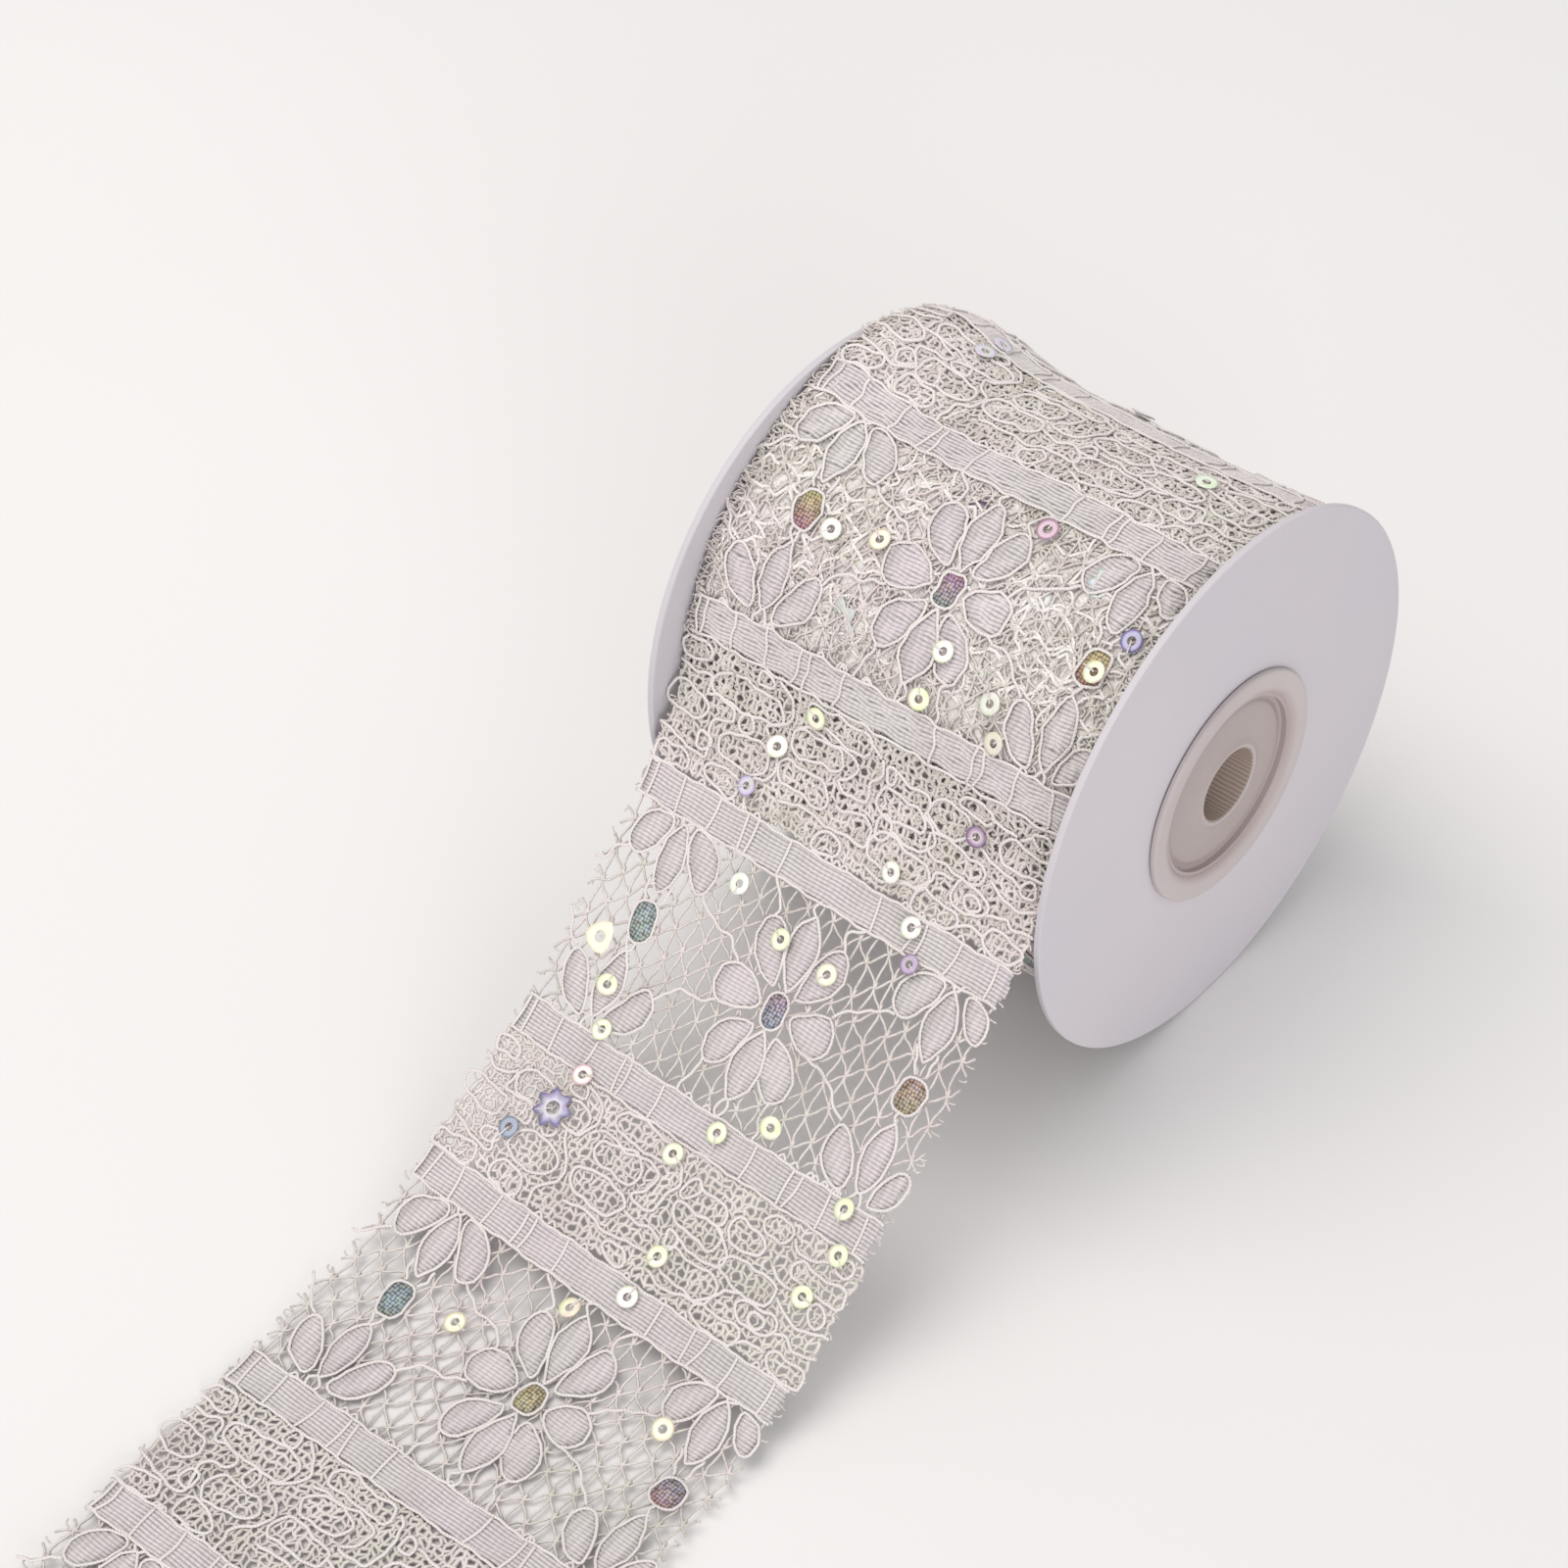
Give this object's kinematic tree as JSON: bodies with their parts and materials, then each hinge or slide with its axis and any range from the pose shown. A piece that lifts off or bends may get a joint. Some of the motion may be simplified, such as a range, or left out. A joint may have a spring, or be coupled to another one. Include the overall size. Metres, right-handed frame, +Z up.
{
  "type": "sequin lace trim on a card spool",
  "caption": "Corded floral lace ribbon with scattered sequins, wound on a flanged card spool, its loose end curving down to the surface in front.",
  "frame": {"origin": "middle of the footprint, on the surface the spool and the loose end rest on", "axes": "+Z up, X along the spool's axis, the loose end runs towards -Y"},
  "size_m": [0.072, 0.2028, 0.075],
  "materials": {
    "flange_card": "smooth coated white card with a faint lilac grey cast",
    "cap_plastic": "moulded, satin",
    "core_kraft": "unbleached fluted kraft board",
    "lace_thread": "off-white knitted lace ground with corded outlines",
    "sequin_film": "pearl lustre film with iridescent tints"
  },
  "bodies": {
    "root": {"flange_left": "flange_card", "flange_right": "flange_card", "hub_cap_left": "cap_plastic", "hub_cap_right": "cap_plastic", "core_tube": "core_kraft", "lace_roll": "lace_thread", "lace_tail": "lace_thread"}
  },
  "joints": []
}
